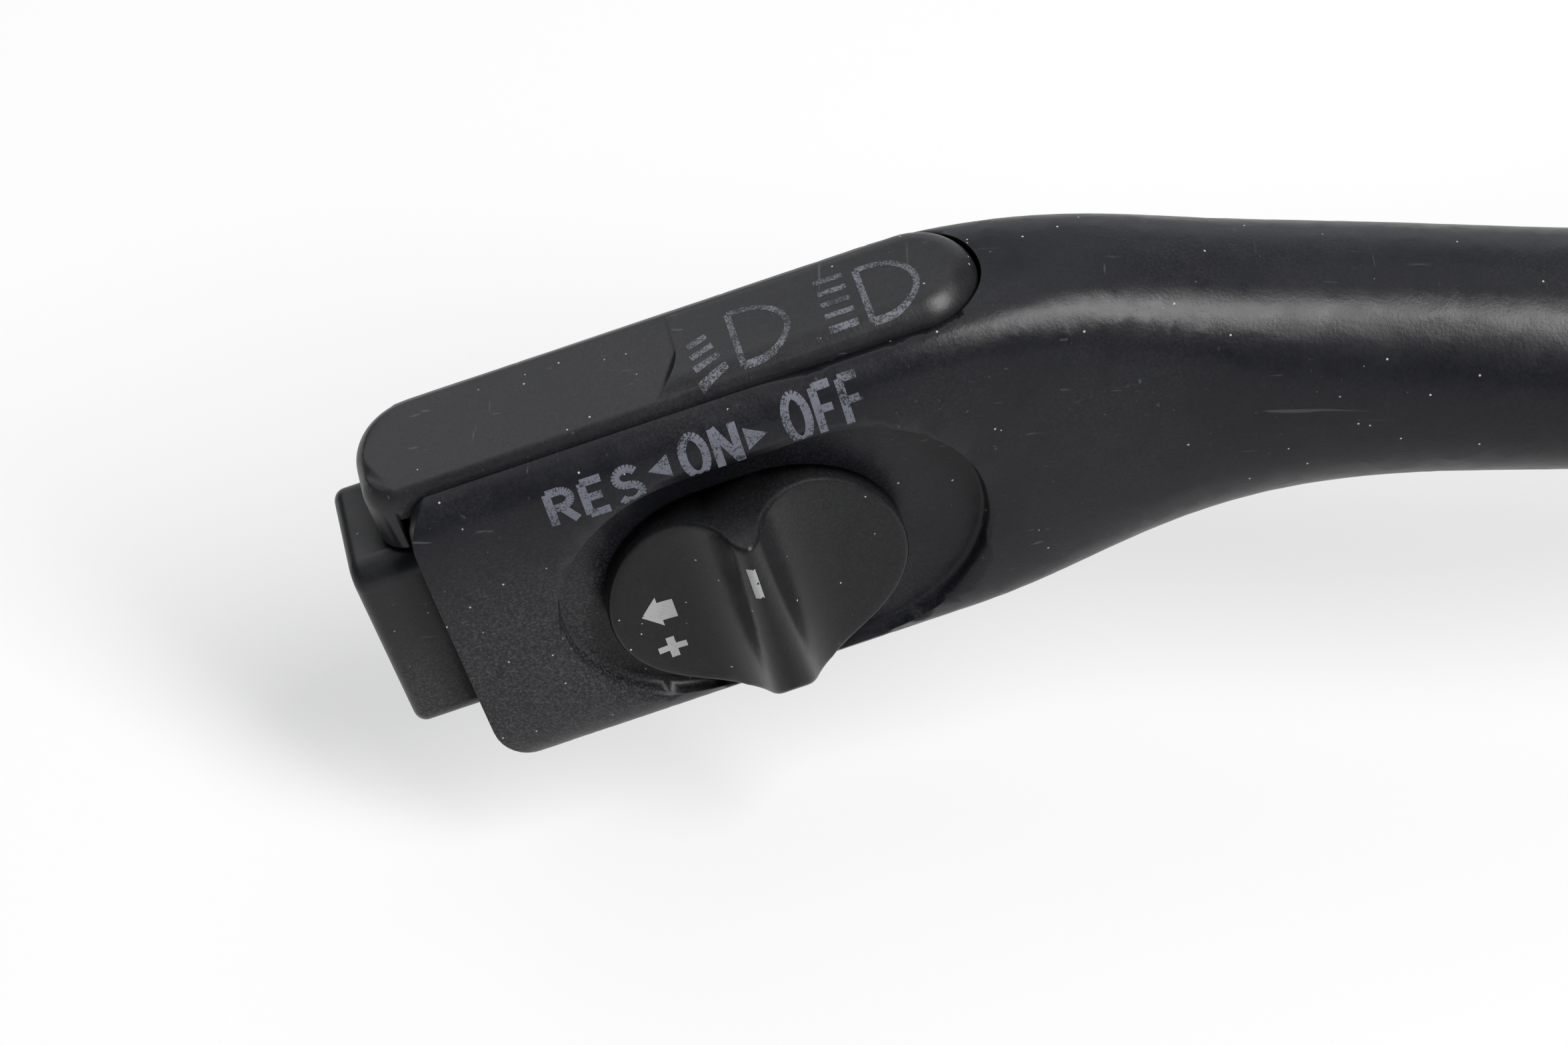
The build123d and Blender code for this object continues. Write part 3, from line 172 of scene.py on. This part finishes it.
def plastic(name, colour, roughness, grain_depth=0.020, mottle=0.5, scratches=0.6, edge=0.16,
            worn_edge=2.3, dust=0.6, specular=SKIN_GLOSS, film=0.5, dusty_spot=None):
    """Moulded plastic: fine spark grain, uneven gloss, light scuffs, rubbed edges, dust film and specks.

    dusty_spot is a place and a radius where the film and the specks lie thicker.
    """
    s = Shader(name)
    broad = s.noise(95.0, 4.0, 0.6)
    middle = s.noise(620.0, 3.0, 0.6)
    fine = s.noise(GRAIN_SCALE, 3.0, 0.65)
    shade = s.maths("MULTIPLY_ADD", s.maths("SUBTRACT", broad, 0.5), mottle, 1.0)
    shade = s.maths("MULTIPLY_ADD", s.maths("SUBTRACT", middle, 0.5), mottle, shade)
    shade = s.maths("MULTIPLY_ADD", s.maths("SUBTRACT", fine, 0.5), mottle * 2.4, shade)
    tinted = s.add("ShaderNodeVectorMath", {0: colour[:3]}, operation="SCALE")
    s.set(tinted.inputs["Scale"], shade)
    along = s.noise(1.0, 2.0, 0.5, s.stretch((90.0, 2600.0, 2600.0), (0.0, 0.3, 0.5)), 0.2)
    across = s.noise(1.0, 2.0, 0.5, s.stretch((2300.0, 110.0, 2300.0), (0.4, 0.0, -0.7)), 0.2)
    lines = s.maths("MAXIMUM", s.ramp(along, 0.70, 0.75), s.ramp(across, 0.71, 0.76))
    lines = s.maths("MULTIPLY", lines, s.ramp(s.noise(60.0, 1.0), 0.38, 0.58))
    bevel = s.add("ShaderNodeBevel", {"Radius": edge * MM}, samples=6)
    plain = s.add("ShaderNodeNewGeometry").outputs["Normal"]
    facing = s.add("ShaderNodeVectorMath", {0: bevel.outputs["Normal"], 1: plain}, operation="DOT_PRODUCT")
    rubbed = s.ramp(facing.outputs["Value"], 0.995, 0.80)
    rubbed = s.maths("MULTIPLY", rubbed, s.ramp(s.noise(1500.0, 3.0, 0.7), 0.36, 0.62, 0.5, 1.0))
    hue = s.mix(s.maths("MULTIPLY", rubbed, 0.8), tinted.outputs["Vector"], lighter(colour, worn_edge))
    hue = s.mix(s.maths("MULTIPLY", lines, 0.30 * scratches), hue, HAIRLINE)
    near_spot = 0.0
    if dusty_spot:
        gap = s.add("ShaderNodeVectorMath", {0: s.place, 1: dusty_spot[0]}, operation="DISTANCE")
        near_spot = s.ramp(gap.outputs["Value"], dusty_spot[1], dusty_spot[1] * 0.2)
    lint = s.ramp(s.noise(6100.0, 3.0, 0.7), 0.40, 0.72)
    veil = s.maths("MULTIPLY", s.ramp(s.noise(55.0, 4.0, 0.6), 0.40, 0.70), lint)
    hue = s.mix(s.maths("MULTIPLY", veil, 0.16 * film), hue, DUST_FILM)
    hue = s.mix(s.maths("MULTIPLY", s.maths("MULTIPLY", near_spot, lint), 0.26), hue, THICK_DUST)
    dusty = s.maths("MULTIPLY_ADD", near_spot, 0.45, s.ramp(s.noise(75.0, 3.0), 0.42, 0.60, 0.04, 0.30))
    fine_motes = s.specks(1500.0, 0.13, s.maths("MULTIPLY", dusty, 0.40))
    motes = s.maths("MAXIMUM", s.specks(520.0, 0.046, dusty), fine_motes)
    hue = s.mix(s.maths("MULTIPLY", motes, dust), hue, DUST_SPECK)
    rough = s.maths("MULTIPLY_ADD", s.maths("SUBTRACT", broad, 0.5), 0.14, roughness)
    rough = s.maths("MULTIPLY_ADD", s.maths("SUBTRACT", middle, 0.5), 0.14, rough)
    rough = s.maths("MULTIPLY_ADD", rubbed, -0.05, rough)
    rough = s.maths("MULTIPLY_ADD", motes, 0.4, rough)
    rough = s.maths("MULTIPLY_ADD", lines, 0.12 * scratches, rough, clamp=True)
    height = s.maths("MULTIPLY_ADD", lines, -0.5 * scratches, fine)
    bump = s.add("ShaderNodeBump", {
        "Strength": 0.6, "Distance": grain_depth * MM, "Height": height, "Normal": bevel.outputs["Normal"],
    })
    skin = s.add("ShaderNodeBsdfPrincipled", {
        "Base Color": hue, "Roughness": rough, "Normal": bump.outputs["Normal"],
        "Specular IOR Level": specular,
    })
    return s.finish(skin.outputs["BSDF"])


def metal(name, colour, roughness, brushed=(400.0, 400.0, 400.0), tarnish=0.25, depth=0.006):
    """Bare metal with drawn or rolled grain, a dull tarnish in patches and a soft edge."""
    s = Shader(name)
    grain = s.noise(1.0, 3.0, 0.6, s.stretch(brushed))
    patches = s.ramp(s.noise(260.0, 4.0, 0.65), 0.40, 0.70)
    hue = s.mix(s.maths("MULTIPLY", patches, tarnish), colour, lighter(colour, 0.55))
    rough = s.maths("MULTIPLY_ADD", s.maths("SUBTRACT", grain, 0.5), 0.22, roughness)
    rough = s.maths("MULTIPLY_ADD", patches, 0.14, rough, clamp=True)
    bevel = s.add("ShaderNodeBevel", {"Radius": 0.08 * MM}, samples=4)
    bump = s.add("ShaderNodeBump", {
        "Strength": 0.5, "Distance": depth * MM, "Height": grain, "Normal": bevel.outputs["Normal"],
    })
    skin = s.add("ShaderNodeBsdfPrincipled", {
        "Base Color": hue, "Metallic": 1.0, "Roughness": rough, "Normal": bump.outputs["Normal"],
    })
    return s.finish(skin.outputs["BSDF"])


def board(name):
    """Printed board: green mask over fine tracks, slightly uneven gloss."""
    s = Shader(name)
    tracks = s.ramp(s.noise(1.0, 1.0, 0.4, s.stretch((190.0, 190.0, 900.0))), 0.50, 0.53)
    hue = s.mix(tracks, rgb(0.012, 0.070, 0.030), rgb(0.022, 0.120, 0.048))
    weave = s.noise(5200.0, 2.0)
    hue = s.mix(s.maths("MULTIPLY", weave, 0.25), hue, rgb(0.03, 0.09, 0.04))
    bump = s.add("ShaderNodeBump", {"Strength": 0.5, "Distance": 0.02 * MM, "Height": tracks})
    skin = s.add("ShaderNodeBsdfPrincipled", {
        "Base Color": hue, "Roughness": s.ramp(s.noise(700.0, 2.0), 0.2, 0.8, 0.28, 0.42),
        "Normal": bump.outputs["Normal"],
    })
    return s.finish(skin.outputs["BSDF"])


def print_ink(name, ink, under, coverage):
    """Pad print that has rubbed away in fine grains, so that the plastic shows through."""
    s = Shader(name)
    grains = s.noise(7800.0, 3.0, 0.75)
    patches = s.noise(700.0, 3.0, 0.6)
    level = s.maths("MULTIPLY_ADD", s.maths("SUBTRACT", patches, 0.5), 0.55, grains)
    kept = s.ramp(level, 0.56 - 0.3 * coverage, 0.72 - 0.3 * coverage)
    hue = s.mix(kept, under, ink)
    bump = s.add("ShaderNodeBump", {"Strength": 0.4, "Distance": 0.008 * MM, "Height": kept})
    skin = s.add("ShaderNodeBsdfPrincipled", {
        "Base Color": hue, "Roughness": s.ramp(kept, 0.0, 1.0, 0.42, 0.6), "Normal": bump.outputs["Normal"],
        "Specular IOR Level": 0.35,
    })
    return s.finish(skin.outputs["BSDF"])


DARK = rgb(0.0058, 0.0060, 0.0080)
COVER_DARK = rgb(0.0090, 0.0091, 0.0105)
KNOB_DARK = rgb(0.0062, 0.0064, 0.0072)
BUTTON_DARK = rgb(0.0070, 0.0072, 0.0084)
HOUSING_DARK = rgb(0.0150, 0.0150, 0.0160)
PLATE_GREY = rgb(0.030, 0.030, 0.032)
CARRIER_CREAM = rgb(0.60, 0.58, 0.52)
SWITCH_GREY = rgb(0.030, 0.030, 0.033)
WIRE_GREY = rgb(0.050, 0.050, 0.055)
DUSTY_GRIP = (in_head(-15.0, 0.0, -2.0), 15.0 * MM)
DUSTY_BUTTON = (in_head(-20.0, -4.0, -6.0), 12.0 * MM)

PLASTICS = {
    "lever_plastic": dict(colour=DARK, roughness=0.345, scratches=0.8, film=0.6, edge=0.10,
                          worn_edge=1.6, dusty_spot=DUSTY_GRIP),
    "cover_plastic": dict(colour=COVER_DARK, roughness=0.38, scratches=0.9, specular=0.25),
    "knob_plastic": dict(colour=KNOB_DARK, roughness=0.30, grain_depth=0.010, dust=0.8, specular=0.17),
    "button_plastic": dict(colour=BUTTON_DARK, roughness=0.36, grain_depth=0.012, specular=0.25,
                           dusty_spot=DUSTY_BUTTON),
    "housing_plastic": dict(colour=HOUSING_DARK, roughness=0.46, grain_depth=0.03),
    "cover_plate_plastic": dict(colour=PLATE_GREY, roughness=0.50, grain_depth=0.03, film=0.3),
    "carrier_plastic": dict(colour=CARRIER_CREAM, roughness=0.42, grain_depth=0.005, mottle=0.08,
                            worn_edge=1.1, scratches=0.2, dust=0.0, specular=0.5, film=0.0),
    "switch_plastic": dict(colour=SWITCH_GREY, roughness=0.45, grain_depth=0.004, dust=0.2),
    "wire_insulation": dict(colour=WIRE_GREY, roughness=0.40, grain_depth=0.004, mottle=0.2,
                            worn_edge=1.3, dust=0.2),
}
FINISHES = {slot: plastic(slot, **recipe) for slot, recipe in PLASTICS.items()}
FINISHES |= {
    "board": board("board"),
    "steel": metal("steel", rgb(0.52, 0.52, 0.53), 0.30, (900.0, 900.0, 5200.0)),
    "spring_steel": metal("spring_steel", rgb(0.40, 0.40, 0.42), 0.28, (2200.0, 2200.0, 2200.0)),
    "zinc": metal("zinc", rgb(0.46, 0.47, 0.49), 0.48, (1500.0, 1500.0, 1500.0), 0.4, 0.02),
    "contact_brass": metal("contact_brass", rgb(0.70, 0.48, 0.20), 0.30, (900.0, 5200.0, 900.0)),
}

slot_of = {entry["node"]: entry["material_slot"] for entry in frame["record"]["subparts"]}


def dress(thing, slot):
    thing.data.materials.clear()
    thing.data.materials.append(FINISHES[slot])


# Smoothly shaded skins for the shell pieces
# Back corner of the shell at its tip, in mm in the head frame: where its rounding starts, and its radius
LIP_SIDE, LIP_TOP, LIP_BACK, LIP_ROUNDING = -15.2, 11.0, -10.3, 3.0
SAME_PLACE = 0.0005
SHARP_ANGLE = 28.0


def worn_lip(place):
    """The back lip of the shell is rounded off where it meets the tip."""
    offset = (place - HEAD_CENTRE) / MM
    right, out, up = offset.dot(RIGHT), offset.dot(OUT), offset.dot(UP)
    side, top = LIP_SIDE - right, up - LIP_TOP
    distance = math.hypot(side, top)
    if out > LIP_BACK or side < 0 or top < 0 or distance < LIP_ROUNDING:
        return place
    share = LIP_ROUNDING / distance
    return in_head(LIP_SIDE - side * share, out, LIP_TOP + top * share)


def smooth_skin(node, change=None):
    """The node's own shape as one joined skin, shaded smoothly between its real edges."""
    source = nodes[node]
    mesh = bpy.data.meshes.new(node + "_skin")
    work = bmesh.new()
    work.from_mesh(source.data)
    bmesh.ops.remove_doubles(work, verts=work.verts, dist=SAME_PLACE * MM)
    if change:
        for vertex in work.verts:
            vertex.co = change(vertex.co)
    work.to_mesh(mesh)
    work.free()
    mesh.shade_smooth()
    mesh.set_sharp_from_angle(angle=math.radians(SHARP_ANGLE))
    thing = bpy.data.objects.new(node + "_skin", mesh)
    bpy.context.scene.collection.objects.link(thing)
    normals = thing.modifiers.new("normals", "WEIGHTED_NORMAL")
    normals.keep_sharp = True
    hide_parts(node)
    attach(thing, source["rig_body"])
    dress(thing, slot_of[node])


for name, node in nodes.items():
    dress(node, slot_of[name])
smooth_skin("lever_body", change=worn_lip)
for name in ("upper_cover", "slider_knob", "set_button", "module_housing", "connector_shroud"):
    smooth_skin(name)


# Prints
def surface_of(node):
    mesh = nodes[node].data
    corners = [vertex.co.copy() for vertex in mesh.vertices]
    return BVHTree.FromPolygons(corners, [list(face.vertices) for face in mesh.polygons])


# How prints are laid down, in mm: their thickness, their longest edge and the room they are dropped from
INK_LIFT, PRINT_STEP, PRINT_DROP = 0.012, 0.30, 4.0
MOST_CUTS = 6


def print_on(name, outlines, node, origin, across, along, material):
    """Thin ink lying on a node: flat outlines in mm, cut fine and laid down along the print direction."""
    tree = surface_of(node)
    facing = across.cross(along).normalized()
    work = bmesh.new()
    for outline in outlines:
        corners = [work.verts.new((x, y, 0.0)) for x, y in outline]
        work.faces.new(corners)
    bmesh.ops.triangulate(work, faces=work.faces)
    for _ in range(MOST_CUTS):
        long_edges = [e for e in work.edges if e.calc_length() > PRINT_STEP]
        if not long_edges:
            break
        bmesh.ops.subdivide_edges(work, edges=long_edges, cuts=1)
        bmesh.ops.triangulate(work, faces=work.faces)
    for vertex in work.verts:
        start = origin + (across * vertex.co.x + along * vertex.co.y + facing * PRINT_DROP) * MM
        hit, normal, _, _ = tree.ray_cast(start, -facing)
        if hit is None:
            hit, normal = start - facing * PRINT_DROP * MM, facing
        vertex.co = hit + normal * INK_LIFT * MM
    bmesh.ops.recalc_face_normals(work, faces=work.faces)
    mesh = bpy.data.meshes.new(name)
    work.to_mesh(mesh)
    work.free()
    mesh.shade_smooth()
    thing = bpy.data.objects.new(name, mesh)
    bpy.context.scene.collection.objects.link(thing)
    thing.data.materials.append(material)
    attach(thing, nodes[node]["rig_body"])


def bar(x0, y0, x1, y1, width):
    """A straight stroke as a closed outline."""
    run = Vector((x1 - x0, y1 - y0))
    side = Vector((-run.y, run.x)).normalized() * width / 2
    return [(x0 - side.x, y0 - side.y), (x1 - side.x, y1 - side.y),
            (x1 + side.x, y1 + side.y), (x0 + side.x, y0 + side.y)]


def ribbon(points, width):
    """A stroke through the points as a row of four-cornered outlines."""
    return [bar(*a, *b, width) for a, b in zip(points, points[1:])]


def bow(cx, cy, rx, ry, start, end, steps=14):
    """Points along part of an ellipse, between two angles in degrees."""
    angles = [math.radians(start + (end - start) * i / steps) for i in range(steps + 1)]
    return [(cx + rx * math.cos(angle), cy + ry * math.sin(angle)) for angle in angles]


# Letters in a box one unit high, drawn with plain strokes
LETTERS = {
    "R": [[(0, 0), (0, 1)], [(0, 1)] + bow(0.28, 0.76, 0.26, 0.24, 90, -90) + [(0, 0.52)],
          [(0.26, 0.52), (0.56, 0)]],
    "E": [[(0.50, 0), (0, 0), (0, 1), (0.50, 1)], [(0, 0.52), (0.42, 0.52)]],
    "S": [bow(0.28, 0.75, 0.26, 0.25, 25, 270) + bow(0.28, 0.25, 0.27, 0.25, 90, -155)],
    "O": [bow(0.30, 0.5, 0.30, 0.5, 0, 360, 24)],
    "N": [[(0, 0), (0, 1), (0.54, 0), (0.54, 1)]],
    "F": [[(0, 0), (0, 1), (0.50, 1)], [(0, 0.52), (0.42, 0.52)]],
}
LETTER_PITCH = {"R": 0.86, "E": 0.80, "S": 0.84, "O": 0.90, "N": 0.86, "F": 0.76}


def word(text, height, widen, stroke):
    """Outlines of the letters, set side by side."""
    shapes, x = [], 0.0
    for letter in text:
        for line in LETTERS[letter]:
            points = [(x + px * height * widen, py * height) for px, py in line]
            shapes += ribbon(points, stroke)
        x += LETTER_PITCH[letter] * height * widen
    return shapes


INK = print_ink("worn_print", rgb(0.078, 0.083, 0.104), DARK, 0.70)
FAINT_INK = print_ink("faint_print", rgb(0.088, 0.093, 0.110), COVER_DARK, 0.42)
MARK_INK = print_ink("mark_print", rgb(0.25, 0.25, 0.25), KNOB_DARK, 1.1)

# The words and arrows lie on the rounded upper edge of the shell, on a plane tilted back from its face
TILT = math.radians(30.0)
BAND = (UP * math.cos(TILT) - OUT * math.sin(TILT)).normalized()
LETTER_STROKE = 0.50
ARROW_RISE, ARROW_HALF_HEIGHT = 12.0, 0.74

# Each word: its place to the right and up, its height and how wide its letters are
for name, text, right, rise, height, widen in (
    ("print_resume", "RES", -10.2, 10.35, 2.1, 1.16),
    ("print_on", "ON", -2.0, 10.6, 2.5, 0.90),
    ("print_off", "OFF", 4.35, 10.6, 2.9, 0.74),
):
    print_on(name, word(text, height, widen, LETTER_STROKE), "lever_body", in_head(right, 0.0, rise),
             RIGHT, BAND, INK)
for name, right, size in (("print_arrow_left", -3.5, -0.66), ("print_arrow_right", 2.45, 0.66)):
    arrow = [(size, 0.0), (-size, ARROW_HALF_HEIGHT), (-size, -ARROW_HALF_HEIGHT)]
    print_on(name, [arrow], "lever_body", in_head(right, 0.0, ARROW_RISE), RIGHT, BAND, INK)


def lamp_shape(x, y, width, height):
    """Lamp seen from the side: a straight back and a bulging front."""
    return [(x, y)] + bow(x + width * 0.25, y + height / 2, width * 0.75, height / 2, -90, 90, 18) + \
        [(x, y + height), (x, y)]


LAMP_STROKE, LOW_RAY, HIGH_RAY = 0.40, 0.46, 0.42
COVER_PRINTS_FROM = in_head(0.0, 0.0, 15.0)

low_beam = ribbon(lamp_shape(3.05, 3.3, 3.2, 4.1), LAMP_STROKE)
low_beam += [bar(0.25, 2.95 + 0.95 * i, 2.15 - 0.22 * i, 3.65 + 0.87 * i, LOW_RAY) for i in range(4)]
high_beam = ribbon(lamp_shape(10.95, 3.3, 3.2, 4.2), LAMP_STROKE)
high_beam += [bar(8.4, 3.6 + 0.98 * i, 10.15, 3.6 + 0.98 * i, HIGH_RAY) for i in range(5)]
print_on("print_low_beam", low_beam, "upper_cover", COVER_PRINTS_FROM, RIGHT, -OUT, FAINT_INK)
print_on("print_high_beam", high_beam, "upper_cover", COVER_PRINTS_FROM, RIGHT, -OUT, FAINT_INK)

index_dash = [bar(0.0, -1.3, 0.0, 1.3, 0.50)]
knob_arrow = [[(-1.15, 0.0), (0.0, -1.3), (0.0, 1.3)], bar(0.0, 0.0, 0.95, 0.0, 1.6)]
knob_plus = [bar(-0.9, 0.0, 0.9, 0.0, 0.52), bar(0.0, 0.26, 0.0, 0.9, 0.52),
             bar(0.0, -0.9, 0.0, -0.26, 0.52)]
for name, shapes, place in (
    ("print_index", index_dash, in_head(-0.35, 4.4, 5.0)),
    ("print_knob_arrow", knob_arrow, in_head(-6.4, 0.6, 0.55)),
    ("print_knob_plus", knob_plus, in_head(-6.4, 0.6, -2.75)),
):
    print_on(name, shapes, "slider_knob", place, RIGHT, UP, MARK_INK)

# Floor
FLOOR_REACH = 2.5
PAPER_TONES = (rgb(0.86, 0.87, 0.88), rgb(0.89, 0.895, 0.90))
PAPER_SEEN = rgb(0.27, 0.27, 0.273)
PAPER_GLOW = 0.555
PAPER_ROUGHNESS = 0.6

floor_mesh = bpy.data.meshes.new("floor")
floor_corners = [(x * FLOOR_REACH, y * FLOOR_REACH, 0) for x, y in ((-1, -1), (1, -1), (1, 1), (-1, 1))]
floor_mesh.from_pydata(floor_corners, [], [(0, 1, 2, 3)])
floor = bpy.data.objects.new("floor", floor_mesh)
floor.location.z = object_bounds()[0][2]
bpy.context.scene.collection.objects.link(floor)

# Pale paper that takes the object's shadow; where the camera or a gloss sees it, it is near white
paper = Shader("floor_paper")
tone = paper.mix(paper.ramp(paper.noise(9.0, 3.0), 0.3, 0.7), *PAPER_TONES)
sheet = paper.add("ShaderNodeBsdfDiffuse", {"Color": tone, "Roughness": PAPER_ROUGHNESS})
part_lit = paper.add("ShaderNodeBsdfDiffuse", {"Color": PAPER_SEEN, "Roughness": PAPER_ROUGHNESS})
glow = paper.add("ShaderNodeEmission", {"Color": rgb(1.0, 1.0, 1.0), "Strength": PAPER_GLOW})
seen = paper.add("ShaderNodeAddShader")
paper.set(seen.inputs[0], part_lit.outputs[0])
paper.set(seen.inputs[1], glow.outputs[0])
rays = paper.add("ShaderNodeLightPath")
clear = paper.maths("MAXIMUM", rays.outputs["Is Glossy Ray"], rays.outputs["Is Transmission Ray"])
direct = paper.maths("MAXIMUM", rays.outputs["Is Camera Ray"], clear)
both = paper.add("ShaderNodeMixShader", {0: direct})
paper.set(both.inputs[1], sheet.outputs[0])
paper.set(both.inputs[2], seen.outputs[0])
floor_mesh.materials.append(paper.finish(both.outputs[0]))


# Light and camera
def soft_light(name, place, target, size, power, colour):
    """A rectangular lamp that points from its place at a target, in metres and watts."""
    lamp = bpy.data.lights.new(name, "AREA")
    lamp.shape = "RECTANGLE"
    lamp.size, lamp.size_y = size
    lamp.energy = power
    lamp.color = colour
    thing = bpy.data.objects.new(name, lamp)
    thing.location = place
    thing.rotation_euler = (Vector(target) - Vector(place)).to_track_quat("-Z", "Y").to_euler()
    bpy.context.scene.collection.objects.link(thing)


WARM, WHITE, COOL = (1.0, 0.985, 0.97), (1.0, 1.0, 1.0), (0.95, 0.97, 1.0)
SKY_COLOUR, SKY_STRENGTH = (0.80, 0.88, 1.0, 1.0), 0.12
CAMERA_PLACE, CAMERA_TILT = (-0.13876, -0.19044, 0.15170), math.radians(45.0)
FOCAL_LENGTH, SENSOR_WIDTH = 85.0, 36.0

soft_light("key_soft", (0.14, -0.28, 0.46), (-0.12, -0.03, 0.0), (0.18, 0.50), 6.6, WARM)
soft_light("overhead_soft", (-0.26, 0.14, 0.60), (-0.16, -0.02, 0.0), (0.90, 0.45), 1.7, WHITE)
soft_light("left_soft", (-0.50, 0.35, 0.50), (-0.15, -0.02, 0.0), (0.35, 0.35), 0.75, WHITE)
soft_light("rear_soft", (-0.16, 0.85, 0.32), (-0.12, 0.0, 0.0), (1.2, 0.5), 2.0, COOL)

world = bpy.data.worlds.new("studio")
world.use_nodes = True
sky = world.node_tree.nodes["Background"]
sky.inputs["Color"].default_value = SKY_COLOUR
sky.inputs["Strength"].default_value = SKY_STRENGTH
bpy.context.scene.world = world

camera_data = bpy.data.cameras.new("photo_camera")
camera_data.lens = FOCAL_LENGTH
camera_data.sensor_width = SENSOR_WIDTH
camera_data.clip_start = 0.01
camera_data.clip_end = 20.0
camera = bpy.data.objects.new("photo_camera", camera_data)
camera.location = CAMERA_PLACE
camera.rotation_euler = (CAMERA_TILT, 0.0, 0.0)
bpy.context.scene.collection.objects.link(camera)
bpy.context.scene.camera = camera
bpy.context.scene.view_settings.view_transform = "Standard"
